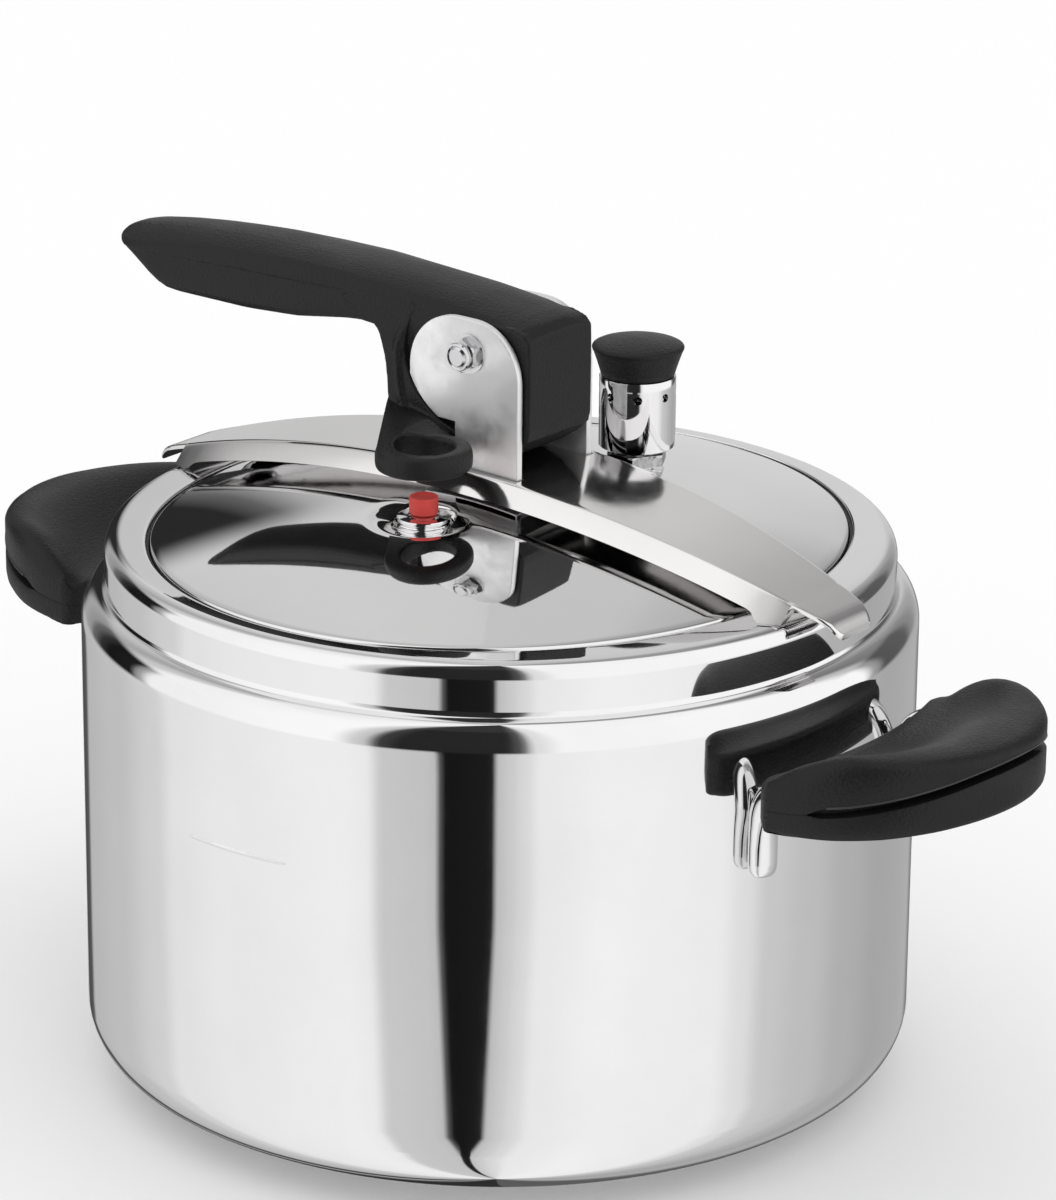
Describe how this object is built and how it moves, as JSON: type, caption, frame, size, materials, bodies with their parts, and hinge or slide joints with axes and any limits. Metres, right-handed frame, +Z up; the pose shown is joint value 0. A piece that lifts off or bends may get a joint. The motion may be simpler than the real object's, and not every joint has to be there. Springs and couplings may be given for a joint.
{
  "type": "stove-top pressure cooker",
  "caption": "Stove-top stainless pressure cooker: an oval lid is pulled up against the inside of the pot's mouth by a cam lever standing on a spring bar.",
  "frame": {"origin": "centre of the base, on the surface the pot stands on", "axes": "+Z up; X along the spring bar and through both side grips, the lever's free end towards -X; the red pin is on the -Y side and the operating valve on the +Y side"},
  "size_m": [0.3244, 0.2188, 0.2134],
  "materials": {
    "polished_steel": "mirror polished stainless steel",
    "machined_steel": "turned and plated steel",
    "base_aluminium": "matte, sealed inside the base cap",
    "bearing_metal": "turned",
    "black_plastic": "fine grained, semi-matte",
    "red_plastic": "matte coral red",
    "grey_rubber": "matte moulded rubber"
  },
  "bodies": {
    "pot": {"pot_body": "polished_steel", "base_core": "base_aluminium", "base_cap": "polished_steel", "bail_right": "polished_steel", "bail_left": "polished_steel", "grip_upper_right": "black_plastic", "grip_lower_right": "black_plastic", "grip_upper_left": "black_plastic", "grip_lower_left": "black_plastic", "grip_screws_right": "machined_steel", "grip_screws_left": "machined_steel", "spring_bar": "polished_steel"},
    "lid": {"lid": "polished_steel", "lid_gasket": "grey_rubber", "stirrup": "polished_steel", "stirrup_bolt": "machined_steel", "stirrup_seal": "grey_rubber", "stirrup_nut": "machined_steel", "pivot_bolt": "machined_steel", "pivot_washers": "machined_steel", "pivot_nut": "machined_steel", "pin_seat": "machined_steel", "pin_seal": "grey_rubber", "pin_nut": "machined_steel", "valve_seat": "machined_steel", "valve_seal": "grey_rubber", "valve_nut": "machined_steel"},
    "lever": {"lever_body": "black_plastic", "lever_bush": "bearing_metal"},
    "pin": {"pin_stem": "polished_steel", "pin_cap": "red_plastic", "pin_ring": "grey_rubber"},
    "valve": {"valve_sleeve": "polished_steel", "valve_knob": "black_plastic", "valve_needle": "polished_steel", "valve_spring": "polished_steel"}
  },
  "joints": [
    {"name": "lid_drop", "type": "slide", "parent": "pot", "child": "lid", "axis": [0, 0, -1], "range_m": [0, 0.0104]},
    {"name": "lever_raise", "type": "hinge", "parent": "lid", "child": "lever", "pos_m": [0.0016, 0, 0.1984], "axis": [0, 1, 0], "range_deg": [0, 85]},
    {"name": "pin_rise", "type": "slide", "parent": "lid", "child": "pin", "axis": [0, 0, 1], "range_m": [0, 0.0095]},
    {"name": "valve_lift", "type": "slide", "parent": "lid", "child": "valve", "axis": [0, 0, 1], "range_m": [0, 0.004]}
  ],
  "couplings": [
    {"joint": "lid_drop", "follows": "lever_raise", "m_per_rad": 0.0070102}
  ]
}
